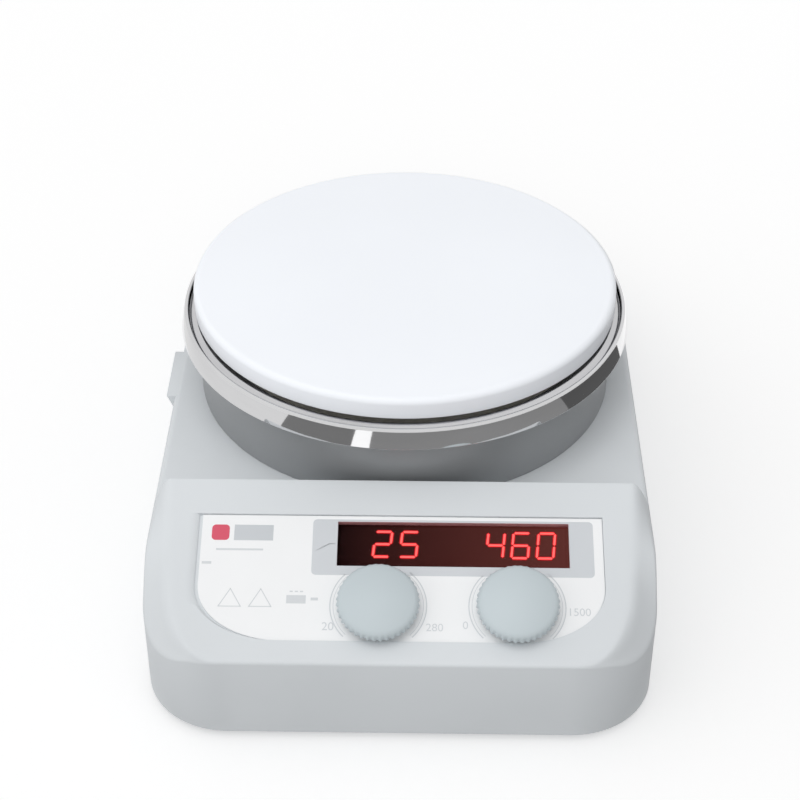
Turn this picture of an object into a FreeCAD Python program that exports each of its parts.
import FreeCAD, Part
import os
from math import atan2, cos, pi, radians, sin, sqrt, tan
from FreeCAD import Placement, Rotation, Vector

# Magnetic stirrer with a heated round plate, in millimetres.
# The origin lies on the bench under the middle of the housing: +X right, +Y back, +Z up.
# The sloping console is at the front and the mains inlet, fuse and switch are at the back.

# housing
WIDTH = 150.0
DEPTH = 258.0
SKIRT_Z = 2.0
DECK_Z = 42.6
WALL = 2.5
FRONT_CORNER_R = 25.0
DECK_EDGE_R = 2.0
FRONT_Y = -DEPTH / 2
REAR_Y = DEPTH / 2
REAR_ARC_Y = REAR_Y - WIDTH / 2
REAR_FLAT_Y = 120.0
EAVE_Z = 38.5

# console: a sloping face that rises to a ridge across the housing
RIDGE_Y = FRONT_Y + 55.0
RIDGE_Z = 51.85
FACE_SLOPE = 21.5
FACE_WALL = 3.0
RECESS_DEPTH = 1.0
CONSOLE_RIDGE_X = 70.5
CONSOLE_FRONT_X = 67.6
CONSOLE_CORNER = (17.6, 24.5)
# the low shoulder beside the console, as (distance behind the front, height)
SHOULDER = [(-4, 34), (0.5, 30.6), (4.7, 26.6), (11, 25.4), (18, 27.8), (25, 32.2), (31, 37.6), (38, 41.6), (57.5, 42.6)]

# heated plate and what it stands on
PLATE_Y = -4.0
PLATE_R = 67.5
PLATE_TOP = 80.0
PLATE_BOTTOM = 73.2
DRUM_R = 66.7
DRUM_TOP = 65.2
TRIM_R = 72.0
TRIM_TOP = 72.9
DECK_HOLE_R = 58.5
PAN_Z = 60.0
COIL_R = 44.0
COIL_TUBE_R = 3.2
STUD_CIRCLE_R = 56.0

# stirring drive under the plate
SHAFT_R = 2.5
RUNNING_GAP = 0.03
BRACKET_Z = 38.0
MOTOR_R = 21.0
MAGNET_R = 10.0
MAGNET_X = 26.0

# console controls, in the face's own frame: X right, Y up the slope from the ridge, Z out of the face
MEMBRANE_TOP = -0.6
WINDOW_X = (-18.4, 49.4)
WINDOW_Y = (-28.0, -13.5)
WINDOW_SIDE = 0.9
WINDOW_THICK = 1.2
DIGITS_Y = (-26.9, -14.6)
DIGITS_TOP = -1.9
BOARD_Z = (-12.9, -11.3)
KNOB_X = (-6.0, 33.9)
KNOB_Y = -41.6
KNOB_R = 12.0
KNOB_SHAFT_R = 3.0
KNOB_BOTTOM = 0.9
KNOB_BRIM = 3.1
KNOB_TOP = 8.1
KNOB_SHOULDER_R = 3.0
FLUTES = 40

# service panel at the back
PANEL_X = 33.0
PANEL_Z = (5.0, 37.9)
INLET_X = -17.0
INLET_Z = (5.6, 37.6)
INLET_SPLIT_Z = 17.7
DRAWER_Z = (8.2, 16.6)
SWITCH_X = 8.5
SWITCH_Z = 21.5
ROCKER_PIVOT_Y = 118.2
ROCKER_TILT = 8.0
SOCKET_X = 26.0
ROD_X = 44.0
ROD_Y = 84.0
ROD_THREAD_R = 4.25
ROD_THREAD_DEPTH = 14.0

BASE_Z = (2.5, 4.5)
FEET = [(-56, -106), (56, -106), (-46, 92), (46, 92)]
BASE_SCREWS = [(-63, -78), (63, -78), (-62, 48), (62, 48)]
BOARD_POSTS = [(-40, 46), (36, 46), (-40, 82), (30, 88)]
FACE_POSTS = [(-54, -16), (54, -16), (-50, -43), (50, -43)]


def box(x, y, z):
    return Part.makeBox(x[1] - x[0], y[1] - y[0], z[1] - z[0], Vector(x[0], y[0], z[0]))


def post(x, y, z, r):
    return Part.makeCylinder(r, z[1] - z[0], Vector(x, y, z[0]))


def bar_x(y, z, x, r):
    return Part.makeCylinder(r, x[1] - x[0], Vector(x[0], y, z), Vector(1, 0, 0))


def bar_y(x, z, y, r):
    return Part.makeCylinder(r, y[1] - y[0], Vector(x, y[0], z), Vector(0, 1, 0))


def hexagon(x, y, z, across_flats):
    r = across_flats / sqrt(3)
    corners = [Vector(x + r * cos(k * pi / 3), y + r * sin(k * pi / 3), z[0]) for k in range(7)]
    return Part.Face(Part.makePolygon(corners)).extrude(Vector(0, 0, z[1] - z[0]))


def lathe(profile, x=0.0, y=PLATE_Y):
    """A solid turned about the upright line through x, y from (radius, height) points."""
    points = [Vector(x + r, y, z) for r, z in profile]
    face = Part.Face(Part.makePolygon(points + points[:1]))
    return face.revolve(Vector(x, y, 0), Vector(0, 0, 1), 360)


def side_slab(points, half_width):
    """A solid as wide as the housing, whose side view is the (y, z) outline."""
    corners = [Vector(-half_width, y, z) for y, z in points]
    face = Part.Face(Part.makePolygon(corners + corners[:1]))
    return face.extrude(Vector(2 * half_width, 0, 0))


def joined(shapes):
    first = shapes[0]
    return first.fuse(shapes[1:]).removeSplitter()


def minus(shape, cutters):
    return shape.cut(cutters).removeSplitter()


def apart(shapes):
    """Separate solids that share one node."""
    solids = []
    for shape in shapes:
        solids += shape.Solids
    return Part.makeCompound(solids)


def on_face(shape):
    """Moves a shape from the console face's own frame into the housing's frame."""
    moved = shape.copy()
    tilt = Placement(Vector(0, RIDGE_Y, RIDGE_Z), Rotation(Vector(1, 0, 0), FACE_SLOPE))
    moved.Placement = tilt.multiply(moved.Placement)
    return moved


def save(name, shape):
    if not shape.isValid():
        raise ValueError(name + " is not a valid solid")
    shape.exportStep("parts/" + name + ".step")
    print(name, len(shape.Solids), "solid", round(shape.Volume / 1000, 2), "cm3")


def body_plan(inset):
    """The housing's plan: rounded front corners, straight sides and a half-round back."""
    half = WIDTH / 2 - inset
    front = FRONT_Y + inset
    r = FRONT_CORNER_R - inset
    centre = Vector(half - r, front + r, 0)
    slant = Vector(r * sqrt(0.5), -r * sqrt(0.5), 0)
    right = Part.Arc(centre - Vector(0, r, 0), centre + slant, centre + Vector(r, 0, 0))
    back = Part.Arc(Vector(half, REAR_ARC_Y, 0), Vector(0, REAR_ARC_Y + half, 0), Vector(-half, REAR_ARC_Y, 0))
    flip = Vector(-centre.x, centre.y, 0)
    left_slant = Vector(-slant.x, slant.y, 0)
    left = Part.Arc(flip - Vector(r, 0, 0), flip + left_slant, flip - Vector(0, r, 0))
    edges = [
        Part.LineSegment(Vector(-centre.x, front, 0), Vector(centre.x, front, 0)),
        right,
        Part.LineSegment(Vector(half, centre.y, 0), Vector(half, REAR_ARC_Y, 0)),
        back,
        Part.LineSegment(Vector(-half, REAR_ARC_Y, 0), Vector(-half, centre.y, 0)),
        left,
    ]
    return Part.Face(Part.Wire([e.toShape() for e in edges]))


def prism(face, z):
    up = face.copy()
    up.translate(Vector(0, 0, z[0]))
    return up.extrude(Vector(0, 0, z[1] - z[0]))


def face_z(y, below=0.0):
    """Height of the console face at y, or of a plane that far below it."""
    return RIDGE_Z - (RIDGE_Y - y) * tan(radians(FACE_SLOPE)) - below / cos(radians(FACE_SLOPE))


def console_plan(inset):
    """The raised console seen from above; its two front corners are quarter ellipses."""
    ridge_x = CONSOLE_RIDGE_X - inset
    side_x = CONSOLE_FRONT_X - inset
    across = CONSOLE_CORNER[0] - inset
    along = CONSOLE_CORNER[1] - inset
    centre_x = CONSOLE_FRONT_X - CONSOLE_CORNER[0]
    centre_y = FRONT_Y + CONSOLE_CORNER[1] - 0.5
    back_y = RIDGE_Y + 3.0
    edges = []
    for side in (1, -1):
        centre = Vector(side * centre_x, centre_y, 0)
        front_point = centre - Vector(0, along, 0)
        side_point = centre + Vector(side * across, 0, 0)
        ellipse = Part.Ellipse(front_point, side_point, centre)
        edges.append(Part.ArcOfEllipse(ellipse, 0, pi / 2).toShape())
        edges.append(Part.LineSegment(Vector(side * side_x, centre_y, 0), Vector(side * ridge_x, back_y, 0)).toShape())
    front_y = centre_y - along
    edges.append(Part.LineSegment(Vector(-centre_x, front_y, 0), Vector(centre_x, front_y, 0)).toShape())
    edges.append(Part.LineSegment(Vector(-ridge_x, back_y, 0), Vector(ridge_x, back_y, 0)).toShape())
    return Part.Face(Part.Wire(Part.__sortEdges__(edges)))


def shoulder_cutter(inset):
    """What is cut away above the shoulder, all round the console."""
    curve = Part.BSplineCurve()
    curve.interpolate([Vector(-90, FRONT_Y + v, z - inset) for v, z in SHOULDER])
    start = curve.StartPoint
    end = curve.EndPoint
    top = [Vector(-90, end.y, 70), Vector(-90, start.y, 70)]
    edges = [curve.toShape()]
    for a, b in ((end, top[0]), (top[0], top[1]), (top[1], start)):
        edges.append(Part.LineSegment(a, b).toShape())
    above = Part.Face(Part.Wire(edges)).extrude(Vector(180, 0, 0))
    return above.cut(prism(console_plan(inset), (0, 80)))


def housing_bulk(inset, bottom, ceiling_drop, face_drop):
    """The housing's outer block, or its hollow when the sizes are those of the inside."""
    back_wall = RIDGE_Y - (0.4 * inset + (0.3 if inset else 0.0))
    deck = DECK_Z - ceiling_drop
    profile = [
        (FRONT_Y - 10, bottom),
        (FRONT_Y - 10, face_z(FRONT_Y - 10, face_drop)),
        (back_wall, face_z(back_wall, face_drop)),
        (back_wall + (0.7 if inset else 2.0), deck),
        (REAR_Y + 10, deck),
        (REAR_Y + 10, bottom),
    ]
    block = prism(body_plan(inset), (bottom, 60)).common(side_slab(profile, 90))
    return block.cut(shoulder_cutter(inset))


def membrane_plan(inset):
    """The console label's outline in the face frame: square at the top, wide round corners below."""
    x = 59.4 - inset
    top = -11.5 - inset
    corner_y = -34.5
    a = 25.0 - inset
    b = 17.5 - inset
    centre_x = x - a
    edges = [Part.LineSegment(Vector(-x, top, 0), Vector(x, top, 0)).toShape()]
    for side in (1, -1):
        centre = Vector(side * centre_x, corner_y, 0)
        ellipse = Part.Ellipse(centre + Vector(side * a, 0, 0), centre - Vector(0, b, 0), centre)
        edges.append(Part.ArcOfEllipse(ellipse, 0, pi / 2).toShape())
        edges.append(Part.LineSegment(Vector(side * x, top, 0), Vector(side * x, corner_y, 0)).toShape())
    edges.append(Part.LineSegment(Vector(-centre_x, corner_y - b, 0), Vector(centre_x, corner_y - b, 0)).toShape())
    return Part.Face(Part.Wire(Part.__sortEdges__(edges)))


def top_cover():
    """One moulded shell: skirt, deck and console, open underneath."""
    front = housing_bulk(0, SKIRT_Z, 0, 0).common(box((-90, 90), (FRONT_Y - 5, RIDGE_Y + 3), (0, 80)))
    rear = prism(body_plan(0), (SKIRT_Z, DECK_Z))
    rear = rear.makeFillet(DECK_EDGE_R, [e for e in rear.Edges if e.BoundBox.ZMin > DECK_Z - 0.1])
    outer = joined([front, rear.common(box((-90, 90), (RIDGE_Y + 3, REAR_Y + 5), (0, 80)))])
    outer = outer.cut(box((-60, 60), (REAR_FLAT_Y, REAR_Y + 10), (0, EAVE_Z)))
    hollow = housing_bulk(WALL, SKIRT_Z - 5, WALL, FACE_WALL)
    hollow = hollow.cut(box((-90, 90), (REAR_FLAT_Y - WALL, REAR_Y + 10), (-5, 60)))
    shell = outer.cut(hollow)
    bosses = [post(x, y, (BASE_Z[1], 60), 4.0) for x, y in BASE_SCREWS]
    bosses.append(post(ROD_X, ROD_Y, (DECK_Z - ROD_THREAD_DEPTH - 3, 60), 9.0))
    bosses += [on_face(post(x, y, (BOARD_Z[1], -1.5), 3.0)) for x, y in FACE_POSTS]
    shell = shell.fuse([boss.common(outer) for boss in bosses])
    lug = Part.Face(Part.makePolygon([
        Vector(-WIDTH / 2 + 0.5, -19.4, 42.3),
        Vector(-WIDTH / 2 - 2.6, -19.4, 42.3),
        Vector(-WIDTH / 2 - 2.6, -19.4, 41.3),
        Vector(-WIDTH / 2 + 0.5, -19.4, 35.3),
        Vector(-WIDTH / 2 + 0.5, -19.4, 42.3),
    ])).extrude(Vector(0, 25.2, 0))
    shell = shell.fuse(lug)
    holes = [post(0, PLATE_Y, (36, 50), DECK_HOLE_R)]
    holes += [post(x, y, (0, 16), 1.25) for x, y in BASE_SCREWS]
    holes.append(post(ROD_X, ROD_Y, (DECK_Z - ROD_THREAD_DEPTH, 60), 7.0))
    holes += [post(x, y, (DECK_Z - 5, 50), 1.6) for x, y in drum_screw_places()]
    holes.append(on_face(prism(membrane_plan(0), (-RECESS_DEPTH, 5))))
    holes.append(on_face(box(WINDOW_X, WINDOW_Y, (-8, 5))))
    holes += [on_face(post(x, KNOB_Y, (-8, 5), 3.6)) for x in KNOB_X]
    holes += [on_face(post(x, y, (-20, -3.5), 1.0)) for x, y in FACE_POSTS]
    holes.append(box((-PANEL_X, PANEL_X), (110, 130), PANEL_Z))
    save("top_cover", minus(shell, holes))


def drum_screw_places():
    angles = [radians(a) for a in (90, 210, 330)]
    return [(62.4 * cos(a), PLATE_Y + 62.4 * sin(a)) for a in angles]


def base():
    """The bottom plate closes the skirt and carries the feet, the motor bracket and the power board."""
    plate = prism(body_plan(WALL + 0.3), BASE_Z)
    plate = plate.common(box((-90, 90), (FRONT_Y, REAR_FLAT_Y - WALL - 0.3), (0, 10)))
    posts = [post(x, y, (BASE_Z[0], 9.0), 3.5) for x, y in BOARD_POSTS]
    plate = plate.fuse(posts)
    holes = [post(x, y, (0, 8), 3.0) for x, y in FEET]
    holes += [post(x, y, (0, 8), 1.6) for x, y in BASE_SCREWS]
    holes += [post(x, y, (0, 12), 1.25) for x, y in BOARD_POSTS]
    holes += [post(x, y, (0, 12), 1.5) for x, y in bracket_screw_places()]
    for k in range(7):
        x = -24 + 8 * k
        holes.append(box((x - 1.5, x + 1.5), (50, 78), (0, 8)))
        holes.append(box((x - 1.5, x + 1.5), (-52, -30), (0, 8)))
    save("base_plate", minus(plate, holes))

    feet = []
    for x, y in FEET:
        profile = [(0, 0), (6.2, 0), (7, 0.8), (7, 2.5), (3, 2.5), (3, 4.5), (3.8, 4.5), (2.8, 6.2), (0, 6.2)]
        feet.append(lathe(profile, x, y))
    save("rubber_feet", apart(feet))

    screws = []
    for x, y in BASE_SCREWS:
        head = post(x, y, (0.9, 2.5), 2.8)
        drive = box((x - 1.7, x + 1.7), (y - 0.4, y + 0.4), (0.8, 1.7))
        screws.append(joined([head, post(x, y, (2.5, 14), 1.25)]).cut(drive))
    save("base_screws", apart(screws))
    save("rating_plate", box((-25, 25), (-92, -66), (2.2, 2.5)))


def console_fittings():
    """The label, the display window, the board and the two push-and-turn encoders."""
    label = prism(membrane_plan(0.15), (-RECESS_DEPTH, MEMBRANE_TOP))
    openings = [box(WINDOW_X, WINDOW_Y, (-2, 1))]
    openings += [post(x, KNOB_Y, (-2, 1), 3.6) for x in KNOB_X]
    save("membrane_overlay", on_face(label.cut(openings)))

    gap = 0.1
    lens = box((WINDOW_X[0] + gap, WINDOW_X[1] - gap), (WINDOW_Y[0] + gap, WINDOW_Y[1] - gap), (-4, -0.5))
    flange = box((WINDOW_X[0] - 1.5, WINDOW_X[1] + 1.5), (WINDOW_Y[0] - 1.5, WINDOW_Y[1] + 1.5), (-4, -3))
    inner_x = (WINDOW_X[0] + WINDOW_SIDE, WINDOW_X[1] - WINDOW_SIDE)
    inner_y = (WINDOW_Y[0] + WINDOW_SIDE, WINDOW_Y[1] - WINDOW_SIDE)
    hollow = box(inner_x, inner_y, (-5, -0.5 - WINDOW_THICK))
    save("display_window", on_face(minus(joined([lens, flange]), [hollow])))

    for name, x in (("heat", (-16.5, 6.3)), ("speed", (16.8, 47.2))):
        save(name + "_digits", on_face(box(x, DIGITS_Y, (BOARD_Z[1], DIGITS_TOP))))

    leds = []
    for x, y in ((-56.3, -27.4), (-24.4, -38.7), (-21.7, -21.8)):
        leds.append(joined([post(x, y, (BOARD_Z[1], -6), 1.5), post(x, y, (BOARD_Z[1], -10.3), 1.9)]))
    save("status_leds", on_face(apart(leds)))

    board = prism(membrane_plan(1.0), BOARD_Z).common(box((-58.5, 58.5), (-50, -12.5), (-20, 0)))
    board = board.cut([post(x, y, (-20, 0), 1.25) for x, y in FACE_POSTS])
    save("display_board", on_face(board))

    nuts = []
    for name, x in zip(("heat", "speed"), KNOB_X):
        case = box((x - 6, x + 6), (KNOB_Y - 6, KNOB_Y + 6), (BOARD_Z[1], -4.8))
        encoder = joined([case, post(x, KNOB_Y, (-4.8, 1.4), 3.5)])
        encoder = encoder.cut(post(x, KNOB_Y, (-10.7, 5), KNOB_SHAFT_R + RUNNING_GAP))
        save(name + "_encoder", on_face(encoder))
        nuts.append(hexagon(x, KNOB_Y, (MEMBRANE_TOP, 1.2), 10).cut(post(x, KNOB_Y, (-2, 3), 3.5)))
        save(name + "_plunger", on_face(post(x, KNOB_Y, (-9.8, -8.9), 2.5)))
        shaft = post(x, KNOB_Y, (-8.6, 6.6), KNOB_SHAFT_R)
        flat = box((x + 1.6, x + 4), (KNOB_Y - 4, KNOB_Y + 4), (2.2, 7))
        save(name + "_shaft", on_face(shaft.cut(flat)))
        save(name + "_knob", on_face(knob(x, shaft.cut(flat))))
    save("encoder_nuts", on_face(apart(nuts)))


def knob(x, shaft):
    """A domed push-and-turn knob with a fluted skirt that draws in towards the panel."""
    brim = Vector(x + KNOB_R, KNOB_Y, KNOB_BRIM)
    crown = Vector(x, KNOB_Y, KNOB_TOP)
    rise = KNOB_TOP - KNOB_BRIM
    shoulder_x = KNOB_R - KNOB_SHOULDER_R
    crown_r = (shoulder_x ** 2 + rise ** 2 - KNOB_SHOULDER_R ** 2) / (2 * (rise - KNOB_SHOULDER_R))
    lean = atan2(shoulder_x, crown_r - rise)
    crown_at = Vector(x, KNOB_Y, KNOB_TOP - crown_r)
    shoulder_at = Vector(x + shoulder_x, KNOB_Y, KNOB_BRIM)

    def on_arc(centre, r, a):
        return centre + Vector(r * sin(a), 0, r * cos(a))

    meet = on_arc(crown_at, crown_r, lean)
    arcs = [
        Part.Arc(crown, on_arc(crown_at, crown_r, lean / 2), meet).toShape(),
        Part.Arc(meet, on_arc(shoulder_at, KNOB_SHOULDER_R, (lean + pi / 2) / 2), brim).toShape(),
    ]
    corners = [crown, Vector(x, KNOB_Y, KNOB_BOTTOM), Vector(x + 10.4, KNOB_Y, KNOB_BOTTOM)]
    corners += [Vector(x + KNOB_R, KNOB_Y, KNOB_BRIM - 0.5), brim]
    sides = [Part.makeLine(a, b) for a, b in zip(corners, corners[1:])]
    turned = Part.Face(Part.Wire(Part.__sortEdges__(arcs + sides)))
    body = turned.revolve(Vector(x, KNOB_Y, 0), Vector(0, 0, 1), 360)
    grooves = []
    for k in range(FLUTES):
        a = 2 * pi * k / FLUTES
        grooves.append(post(x + 12.15 * cos(a), KNOB_Y + 12.15 * sin(a), (0, 4.4), 0.5))
    hollow = post(x, KNOB_Y, (0, 2.2), 6.6)
    return minus(body, [hollow, shaft] + grooves)


def plate_stack():
    """The drum on the deck, its polished ring, the pan, the heater and the plate on top."""
    drum = lathe([
        (57, 42.6), (DRUM_R, 42.6), (DRUM_R, DRUM_TOP), (64.2, DRUM_TOP), (64.2, 45.6), (57, 45.6),
    ])
    drum = drum.cut([post(x, y, (40, 44.6), 1.25) for x, y in drum_screw_places()])
    save("drum_wall", drum)
    screws = []
    for x, y in drum_screw_places():
        screws.append(joined([post(x, y, (38.5, 40.1), 2.6), post(x, y, (40.1, 44.6), 1.25)]))
    save("drum_screws", apart(screws))

    ring = lathe([
        (63.2, 65.2), (TRIM_R, 65.2), (TRIM_R, TRIM_TOP), (70.3, TRIM_TOP), (70.3, 71.9), (71, 71.9),
        (71, 66.2), (63.2, 66.2),
    ])
    outside = [e for e in ring.Edges if abs(e.BoundBox.XLength - 2 * TRIM_R) < 0.01]
    save("trim_ring", ring.makeFillet(0.8, outside))

    studs = [radians(a) for a in (45, 135, 225, 315)]
    stud_places = [(STUD_CIRCLE_R * cos(a), PLATE_Y + STUD_CIRCLE_R * sin(a)) for a in studs]
    end_angles = (radians(70), radians(110))
    coil_ends = [(COIL_R * cos(a), PLATE_Y + COIL_R * sin(a)) for a in end_angles]
    pan = lathe([
        (0, PAN_Z), (63, PAN_Z), (63, 66.2), (66.8, 66.2), (66.8, 70.4), (69.4, 70.4), (69.4, 71.2),
        (66, 71.2), (66, 67), (62.2, 67), (62.2, PAN_Z + 0.8), (0, PAN_Z + 0.8),
    ])
    pan = pan.cut([post(x, y, (59, 62), 2.2) for x, y in stud_places])
    pan = pan.cut([post(x, y, (59, 62), COIL_TUBE_R + 0.3) for x, y in coil_ends])
    save("heater_pan", pan)

    pad = post(0, PLATE_Y, (PAN_Z + 0.8, 65.8), 61.9)
    pad = pad.cut([post(x, y, (59, 67), 3.2) for x, y in stud_places])
    pad = pad.cut([post(x, y, (59, 67), COIL_TUBE_R + 0.3) for x, y in coil_ends])
    save("insulation_disc", pad)

    coil_z = PLATE_BOTTOM - COIL_TUBE_R
    coil = Part.makeTorus(COIL_R, COIL_TUBE_R, Vector(0, PLATE_Y, coil_z), Vector(0, 0, 1), -180, 180, 320)
    coil.rotate(Vector(0, PLATE_Y, 0), Vector(0, 0, 1), 110)
    coil_parts = [coil]
    for x, y in coil_ends:
        coil_parts.append(Part.makeSphere(COIL_TUBE_R, Vector(x, y, coil_z)))
        coil_parts.append(post(x, y, (57, coil_z), COIL_TUBE_R))
    save("heater_coil", joined(coil_parts))

    plate_studs = []
    nuts = []
    for x, y in stud_places:
        plate_studs.append(joined([post(x, y, (PAN_Z + 0.8, PLATE_BOTTOM), 3.0), post(x, y, (55, 61), 2.0)]))
        nuts.append(hexagon(x, y, (56.8, PAN_Z), 7).cut(post(x, y, (50, 61), 2.0)))
    save("plate_studs", apart(plate_studs))
    save("stud_nuts", apart(nuts))

    plate = post(0, PLATE_Y, (PLATE_BOTTOM, PLATE_TOP), PLATE_R)
    rims = [e for e in plate.Edges if e.Length > 300]
    top_rim = [e for e in rims if e.BoundBox.ZMin > PLATE_TOP - 0.1]
    low_rim = [e for e in rims if e.BoundBox.ZMax < PLATE_BOTTOM + 0.1]
    plate = plate.makeFillet(3.2, top_rim)
    low_rim = [e for e in plate.Edges if e.Length > 300 and e.BoundBox.ZMax < PLATE_BOTTOM + 0.1]
    save("hotplate", plate.makeFillet(0.8, low_rim))

    probe = joined([post(0, PLATE_Y, (67, PLATE_BOTTOM), 2.5), post(0, PLATE_Y, (66, 67), 5.0)])
    save("temperature_sensor", probe)
    cut_out = joined([post(22, 4, (66.2, PLATE_BOTTOM), 7.5), box((20.5, 23.5), (-8, 16), (66.2, 67))])
    save("thermal_cutout", cut_out)


def bracket_screw_places():
    return [(x, y) for x in (-57, 57) for y in (-20, 12)]


def drive():
    """The motor hangs under a bridge bracket; its shaft spins two magnets under the plate."""
    top = box((-52, 52), (-26, 18), (BRACKET_Z, BRACKET_Z + 2))
    bridge = [top]
    for side in (-1, 1):
        bridge.append(box(sorted((side * 50, side * 52)), (-26, 18), (BASE_Z[1], BRACKET_Z + 2)))
        bridge.append(box(sorted((side * 50, side * 61)), (-26, 18), (BASE_Z[1], BASE_Z[1] + 2)))
    holes = [post(0, PLATE_Y, (30, 50), 8.0)]
    holes += [post(x, y, (0, 12), 1.5) for x, y in bracket_screw_places()]
    holes += [post(x, PLATE_Y, (30, 50), 1.5) for x in (-14, 14)]
    save("motor_bracket", minus(joined(bridge), holes))

    screws = []
    for x, y in bracket_screw_places():
        screws.append(joined([post(x, y, (6.5, 8.3), 2.8), post(x, y, (BASE_Z[0] + 0.1, 6.5), 1.5)]))
    for x in (-14, 14):
        screws.append(joined([post(x, PLATE_Y, (40, 41.8), 2.7), post(x, PLATE_Y, (35.5, 40), 1.5)]))
    save("bracket_screws", apart(screws))

    can = lathe([
        (5, 15), (MOTOR_R, 15), (MOTOR_R, BRACKET_Z), (7.9, BRACKET_Z), (7.9, 41), (5, 41),
        (5, 34.5), (19.8, 34.5), (19.8, 16.5), (5, 16.5),
    ])
    save("motor_housing", can.cut([post(x, PLATE_Y, (35.5, 40), 1.5) for x in (-14, 14)]))
    stator = lathe([(11.5, 19), (19.8, 19), (19.8, 32.5), (11.5, 32.5)])
    slots = []
    for k in range(6):
        a = 60 * k
        slot = box((12.6, 18.2), (PLATE_Y - 1.4, PLATE_Y + 1.4), (18, 34))
        slot.rotate(Vector(0, PLATE_Y, 0), Vector(0, 0, 1), a)
        slots.append(slot)
    save("motor_stator", minus(stator, slots))
    bush_bore = SHAFT_R + RUNNING_GAP
    bushes = [lathe([(bush_bore, z), (5, z), (5, z + 4), (bush_bore, z + 4)]) for z in (15, 37)]
    save("motor_bushes", apart(bushes))

    save("motor_shaft", post(0, PLATE_Y, (16, 54), SHAFT_R))
    save("motor_rotor", lathe([(SHAFT_R, 19.6), (10.9, 19.6), (10.9, 32), (SHAFT_R, 32)]))
    arm = box((-MAGNET_X, MAGNET_X), (PLATE_Y - 12, PLATE_Y + 12), (46, 50))
    carrier = [arm, post(0, PLATE_Y, (41.6, 51), 6.5)]
    for x in (-MAGNET_X, MAGNET_X):
        carrier.append(post(x, PLATE_Y, (46, 54), 12.0))
    cuts = [post(0, PLATE_Y, (40, 60), SHAFT_R)]
    cuts += [post(x, PLATE_Y, (50, 60), MAGNET_R) for x in (-MAGNET_X, MAGNET_X)]
    grub = bar_y(0, 43.8, (PLATE_Y - 6.9, PLATE_Y - SHAFT_R), 1.5)
    grub = grub.cut(post(0, PLATE_Y, (40, 60), SHAFT_R))
    save("magnet_carrier", minus(joined(carrier), cuts + [grub]))
    save("carrier_screw", grub)
    save("drive_magnets", apart([post(x, PLATE_Y, (50, 58), MAGNET_R) for x in (-MAGNET_X, MAGNET_X)]))


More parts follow.
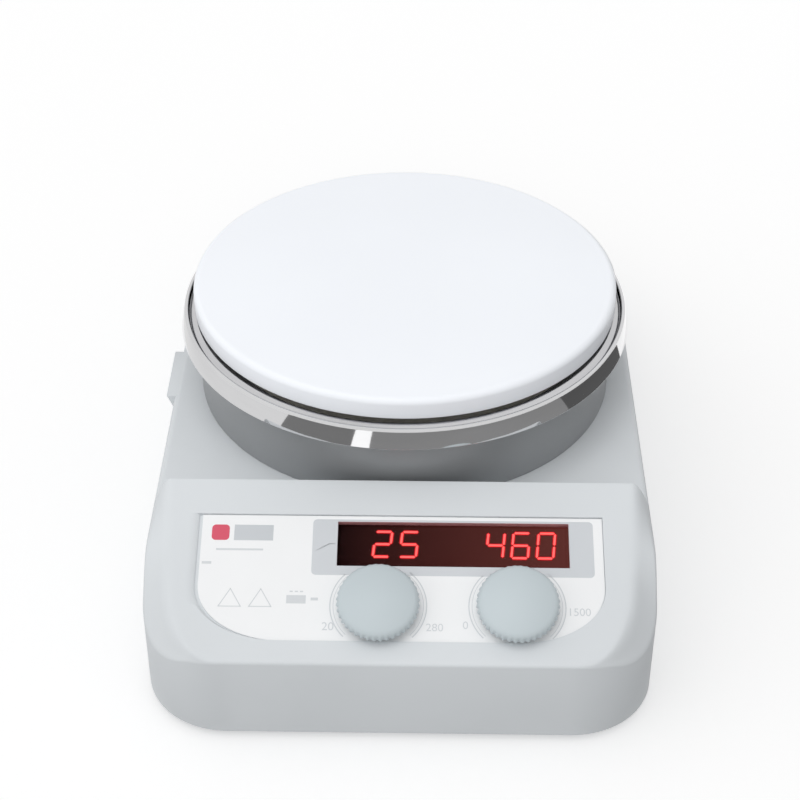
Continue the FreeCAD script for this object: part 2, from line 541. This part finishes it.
def service_panel():
    """A plate in the back of the cover holds the mains inlet, fuse drawer, switch and sensor socket."""
    inner_y = REAR_FLAT_Y - WALL
    plate = box((-PANEL_X + 0.1, PANEL_X - 0.1), (inner_y, REAR_FLAT_Y), (PANEL_Z[0] + 0.1, PANEL_Z[1] - 0.1))
    lip = box((-PANEL_X - 1.3, PANEL_X + 1.3), (inner_y - 1.2, inner_y), (BASE_Z[1] + 0.1, PANEL_Z[1] + 1.3))
    holes = [box((INLET_X - 13.7, INLET_X + 13.7), (110, 130), (6.9, 36.3))]
    holes.append(box((SWITCH_X - 6.6, SWITCH_X + 6.6), (110, 130), (SWITCH_Z - 9.6, SWITCH_Z + 9.6)))
    holes.append(bar_y(SOCKET_X, SWITCH_Z, (110, 130), 5.5))
    save("rear_panel", minus(joined([plate, lip]), holes))

    x0 = INLET_X
    blades = []
    for dx, z in ((-7, 24.7), (0, 28.7), (7, 24.7)):
        blades.append(box((x0 + dx - 1, x0 + dx + 1), (93, 116.5), (z - 2, z + 2)))
    save("inlet_blades", apart(blades))
    flange = box((x0 - 15, x0 + 15), (REAR_FLAT_Y, REAR_FLAT_Y + 1.8), (INLET_SPLIT_Z, INLET_Z[1]))
    body = box((x0 - 13.6, x0 + 13.6), (98, REAR_FLAT_Y), (INLET_SPLIT_Z, 36.2))
    mouth = Part.Face(Part.makePolygon([
        Vector(x0 - 12.1, 106, 18.6), Vector(x0 + 12.1, 106, 18.6), Vector(x0 + 12.1, 106, 29.8),
        Vector(x0 + 7.1, 106, 34.8), Vector(x0 - 7.1, 106, 34.8), Vector(x0 - 12.1, 106, 29.8),
        Vector(x0 - 12.1, 106, 18.6),
    ])).extrude(Vector(0, 20, 0))
    save("inlet_housing", minus(joined([flange, body]), [mouth] + blades))

    flange = box((x0 - 15, x0 + 15), (REAR_FLAT_Y, REAR_FLAT_Y + 1.8), (INLET_Z[0], INLET_SPLIT_Z))
    body = box((x0 - 13.6, x0 + 13.6), (98, REAR_FLAT_Y), (7.0, INLET_SPLIT_Z))
    drawer_way = box((x0 - 11.3, x0 + 11.3), (103.5, 125), (DRAWER_Z[0] - 0.3, DRAWER_Z[1] + 0.3))
    save("fuse_holder", minus(joined([flange, body]), [drawer_way]))

    tray = box((x0 - 11, x0 + 11), (104, 122.4), DRAWER_Z)
    pocket = box((x0 - 10, x0 + 10), (106, 119), (DRAWER_Z[0] + 1.2, 20))
    grip = box((x0 - 4, x0 + 4), (121.4, 125), (DRAWER_Z[0] + 2.4, DRAWER_Z[0] + 5.0))
    save("fuse_drawer", minus(tray, [pocket, grip]))
    save("fuses", apart([bar_x(y, 12.2, (x0 - 9.8, x0 + 9.8), 2.6) for y in (109.2, 115.6)]))

    frame = joined([
        box((SWITCH_X - 7.5, SWITCH_X + 7.5), (REAR_FLAT_Y, REAR_FLAT_Y + 1.6), (SWITCH_Z - 10.5, SWITCH_Z + 10.5)),
        box((SWITCH_X - 6.5, SWITCH_X + 6.5), (104, REAR_FLAT_Y), (SWITCH_Z - 9.5, SWITCH_Z + 9.5)),
    ])
    well = box((SWITCH_X - 5.7, SWITCH_X + 5.7), (111, 125), (SWITCH_Z - 9.2, SWITCH_Z + 9.2))
    pin_holes = bar_x(ROCKER_PIVOT_Y, SWITCH_Z, (SWITCH_X - 6.3, SWITCH_X + 6.3), 1.25)
    save("switch_frame", minus(frame, [well, pin_holes]))
    side_view = [(4.9, 8.0), (3.0, 0.0), (4.9, -8.0), (-0.5, -8.0), (-2.5, -3.0), (-2.5, 3.0), (-0.5, 8.0), (4.9, 8.0)]
    corners = [Vector(SWITCH_X - 5.4, ROCKER_PIVOT_Y + y, SWITCH_Z + z) for y, z in side_view]
    rocker = Part.Face(Part.makePolygon(corners)).extrude(Vector(10.8, 0, 0))
    rocker = rocker.fuse(bar_x(ROCKER_PIVOT_Y, SWITCH_Z, (SWITCH_X - 6.2, SWITCH_X + 6.2), 1.2))
    rocker.rotate(Vector(SWITCH_X, ROCKER_PIVOT_Y, SWITCH_Z), Vector(1, 0, 0), -ROCKER_TILT)
    save("power_rocker", rocker)

    socket = joined([
        bar_y(SOCKET_X, SWITCH_Z, (REAR_FLAT_Y, REAR_FLAT_Y + 1.6), 6.6),
        bar_y(SOCKET_X, SWITCH_Z, (106, REAR_FLAT_Y), 5.4),
    ])
    pins = []
    for k in range(5):
        a = radians(-30 + 60 * k)
        pins.append(bar_y(SOCKET_X + 2.6 * cos(a), SWITCH_Z + 2.6 * sin(a), (113, 117.2), 0.5))
    save("sensor_socket", socket.cut(bar_y(SOCKET_X, SWITCH_Z, (113, 125), 4.3)))
    save("sensor_pins", apart(pins))

    insert = post(ROD_X, ROD_Y, (DECK_Z - ROD_THREAD_DEPTH, DECK_Z), 7.0)
    save("rod_insert", insert.cut(post(ROD_X, ROD_Y, (0, 60), ROD_THREAD_R)))


def power_supply():
    """The board at the back that feeds the heater, the motor and the display, and its wiring."""
    board = box((-46, 42), (42, 92), (9.0, 10.6))
    board = board.cut([post(x, y, (0, 20), 1.25) for x, y in BOARD_POSTS])
    save("power_board", board)
    screws = []
    for x, y in BOARD_POSTS:
        screws.append(joined([post(x, y, (10.6, 12.2), 2.5), post(x, y, (5, 10.6), 1.25)]))
    for x, y in FACE_POSTS:
        small = [post(x, y, (BOARD_Z[0] - 1.4, BOARD_Z[0]), 2.2), post(x, y, (BOARD_Z[0], -5), 1.0)]
        screws.append(on_face(joined(small)))
    save("board_screws", apart(screws))
    core = box((-34, -2), (58, 82), (10.6, 26.6))
    winding = box((-27, -9), (55, 85), (13.6, 23.6))
    save("transformer", joined([core, winding]))
    cans = [post(10, 62, (10.6, 28.6), 6.0), post(24, 62, (10.6, 24.6), 5.0), post(36, 62, (10.6, 24.6), 5.0)]
    save("capacitors", apart(cans))
    sink = [box((-1, 30), (74, 76), (10.6, 32.6))]
    sink += [box((4 * k, 4 * k + 1.2), (76, 81), (10.6, 32.6)) for k in range(8)]
    save("triac_heatsink", joined(sink))
    save("terminal_block", box((-22, 22), (43.4, 51.4), (10.6, 22.6)))

    wires = []
    for a in (radians(70), radians(110)):
        x = COIL_R * cos(a)
        y = PLATE_Y + COIL_R * sin(a)
        bend_r = 43.4 - y
        drop = Part.makeLine(Vector(x, y, 57), Vector(x, y, 18 + bend_r))
        middle = Vector(x, y + bend_r * (1 - sqrt(0.5)), 18 + bend_r * (1 - sqrt(0.5)))
        turn = Part.Arc(Vector(x, y, 18 + bend_r), middle, Vector(x, 43.4, 18)).toShape()
        wires.append(wire_tube([drop, turn], Vector(x, y, 57), Vector(0, 0, -1), 1.2))
    save("heater_leads", apart(wires))
    wires = []
    for dx, z in ((-7, 24.7), (0, 28.7), (7, 24.7)):
        x = INLET_X + dx
        bend = Part.Arc(Vector(x, 92, z), Vector(x, 92 - 5 * sqrt(0.5), z - 5 * (1 - sqrt(0.5))), Vector(x, 87, z - 5))
        path = [Part.makeLine(Vector(x, 93, z), Vector(x, 92, z)), bend.toShape()]
        path.append(Part.makeLine(Vector(x, 87, z - 5), Vector(x, 87, 10.6)))
        wires.append(wire_tube(path, Vector(x, 93, z), Vector(0, -1, 0), 1.1))
    save("mains_leads", apart(wires))
    ribbon = Part.Face(Part.makePolygon([
        Vector(-6, 42, 7.4), Vector(-6, -96, 5.4), Vector(-6, -98.5, 16.5), Vector(-6, -97.7, 16.5),
        Vector(-6, -95.3, 6.2), Vector(-6, 42, 8.2), Vector(-6, 42, 7.4),
    ])).extrude(Vector(12, 0, 0))
    save("panel_ribbon", ribbon)


def wire_tube(path, start, direction, r):
    ring = Part.Wire(Part.makeCircle(r, start, direction))
    return Part.Wire(path).makePipeShell([ring], True, False)


os.makedirs("parts", exist_ok=True)
top_cover()
base()
console_fittings()
plate_stack()
drive()
service_panel()
power_supply()
